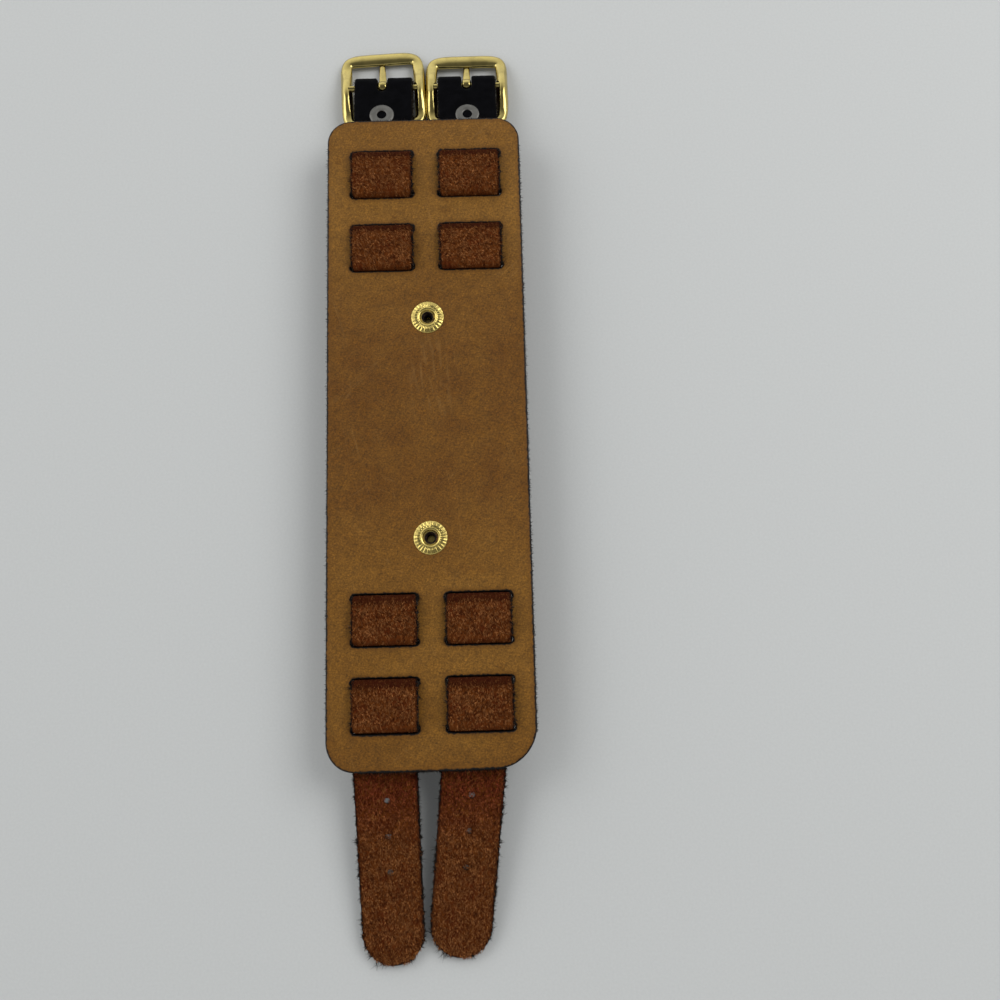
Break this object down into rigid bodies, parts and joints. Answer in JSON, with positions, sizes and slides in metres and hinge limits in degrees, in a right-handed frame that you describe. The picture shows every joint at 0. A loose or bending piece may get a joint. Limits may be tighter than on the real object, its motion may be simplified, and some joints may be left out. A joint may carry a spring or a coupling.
{
  "type": "leather cuff watch",
  "caption": "Wide leather cuff with two woven buckled straps and a slim hand-wound watch held on its front by leather tabs with press snaps.",
  "frame": {"origin": "centre of the crystal's outer face, on the plane the watch lies on", "axes": "+Z from the dial towards the wrist, +Y along the cuff towards the buckles at 12 o'clock, +X away from the crown"},
  "size_m": [0.0508, 0.24, 0.0136],
  "materials": {
    "cuff_leather": "natural tan grain, skin side, dyed black edges",
    "strap_leather": "red-brown suede on one side, black grain on the other",
    "tab_leather": "tan",
    "buckle_brass": "polished, lightly scratched",
    "snap_brass": "pressed, satin",
    "rivet_nickel": "dull nickel plate",
    "case_steel": "brushed flanks, polished edges",
    "pin_steel": "turned",
    "crystal_glass": "clear",
    "gasket_rubber": "matte black",
    "dial_paint": "matte cream, applied steel markers",
    "hand_steel": "black",
    "movement_brass": "plain brass",
    "movement_steel": "rhodium-like grey"
  },
  "bodies": {
    "cuff": {"cuff_base": "cuff_leather", "left_strap": "strap_leather", "right_strap": "strap_leather", "left_fold_rivet": "rivet_nickel", "right_fold_rivet": "rivet_nickel", "upper_snap_post": "snap_brass", "lower_snap_post": "snap_brass", "upper_snap_stud": "snap_brass", "lower_snap_stud": "snap_brass"},
    "left_buckle": {"left_buckle_frame": "buckle_brass"},
    "right_buckle": {"right_buckle_frame": "buckle_brass"},
    "left_prong": {"left_buckle_prong": "buckle_brass"},
    "right_prong": {"right_buckle_prong": "buckle_brass"},
    "upper_tab": {"upper_watch_tab": "tab_leather", "upper_snap_socket": "snap_brass", "upper_snap_cap": "snap_brass"},
    "watch": {"watch_case": "case_steel", "bezel": "case_steel", "crystal": "crystal_glass", "crystal_gasket": "gasket_rubber", "dial": "dial_paint", "main_plate": "movement_steel", "train_bridge": "movement_steel", "balance_cock": "movement_steel", "case_back": "case_steel", "case_back_gasket": "gasket_rubber", "upper_spring_bar": "pin_steel", "lower_spring_bar": "pin_steel"},
    "lower_tab": {"lower_watch_tab": "tab_leather", "lower_snap_socket": "snap_brass", "lower_snap_cap": "snap_brass"},
    "minute_arbor": {"centre_arbor": "movement_steel", "minute_hand": "hand_steel"},
    "hour_arbor": {"hour_wheel": "movement_brass", "hour_hand": "hand_steel"},
    "minute_wheel_body": {"minute_wheel": "movement_brass"},
    "barrel_body": {"mainspring_barrel": "movement_brass"},
    "balance_body": {"balance_wheel": "movement_brass"},
    "stem": {"winding_stem": "pin_steel"},
    "crown_body": {"crown": "case_steel"}
  },
  "joints": [
    {"name": "watch_lift", "type": "slide", "parent": "cuff", "child": "upper_tab", "axis": [0, 0, -1], "range_m": [0, 0.012]},
    {"name": "watch_swing", "type": "hinge", "parent": "upper_tab", "child": "watch", "pos_m": [0, 0.0203, 0.00578], "axis": [1, 0, 0], "range_deg": [0, 75]},
    {"name": "lower_tab_swing", "type": "hinge", "parent": "watch", "child": "lower_tab", "pos_m": [0, -0.0203, 0.00578], "axis": [1, 0, 0], "range_deg": [0, 75]},
    {"name": "stem_pull", "type": "slide", "parent": "watch", "child": "stem", "axis": [-1, 0, 0], "range_m": [0, 0.0012]},
    {"name": "crown_turn", "type": "hinge", "parent": "stem", "child": "crown_body", "pos_m": [-0.0195, 0, 0.00373], "axis": [-1, 0, 0], "continuous": true},
    {"name": "minute_turn", "type": "hinge", "parent": "watch", "child": "minute_arbor", "pos_m": [0, 0, 0.003], "axis": [0, 0, 1], "continuous": true},
    {"name": "hour_turn", "type": "hinge", "parent": "watch", "child": "hour_arbor", "pos_m": [0, 0, 0.003], "axis": [0, 0, 1], "continuous": true},
    {"name": "minute_wheel_turn", "type": "hinge", "parent": "watch", "child": "minute_wheel_body", "pos_m": [0, 0.004, 0.003], "axis": [0, 0, 1], "continuous": true},
    {"name": "barrel_turn", "type": "hinge", "parent": "watch", "child": "barrel_body", "pos_m": [0, -0.007, 0.0048], "axis": [0, 0, 1], "continuous": true},
    {"name": "balance_swing", "type": "hinge", "parent": "watch", "child": "balance_body", "pos_m": [0.0041, 0.0071, 0.0048], "axis": [0, 0, 1], "range_deg": [-135, 135]},
    {"name": "left_buckle_tilt", "type": "hinge", "parent": "cuff", "child": "left_buckle", "pos_m": [-0.0115, 0.09805, 0.00436], "axis": [1, 0, 0], "range_deg": [0, 60]},
    {"name": "left_prong_lift", "type": "hinge", "parent": "left_buckle", "child": "left_prong", "pos_m": [-0.0115, 0.09805, 0.00436], "axis": [1, 0, 0], "range_deg": [-85, 0]},
    {"name": "right_buckle_tilt", "type": "hinge", "parent": "cuff", "child": "right_buckle", "pos_m": [0.0115, 0.09805, 0.00436], "axis": [1, 0, 0], "range_deg": [0, 60]},
    {"name": "right_prong_lift", "type": "hinge", "parent": "right_buckle", "child": "right_prong", "pos_m": [0.0115, 0.09805, 0.00436], "axis": [1, 0, 0], "range_deg": [-85, 0]}
  ],
  "couplings": [
    {"joint": "hour_turn", "follows": "minute_turn", "ratio": 0.083333},
    {"joint": "minute_wheel_turn", "follows": "minute_turn", "ratio": -0.33333},
    {"joint": "barrel_turn", "follows": "minute_turn", "ratio": -0.16667}
  ]
}
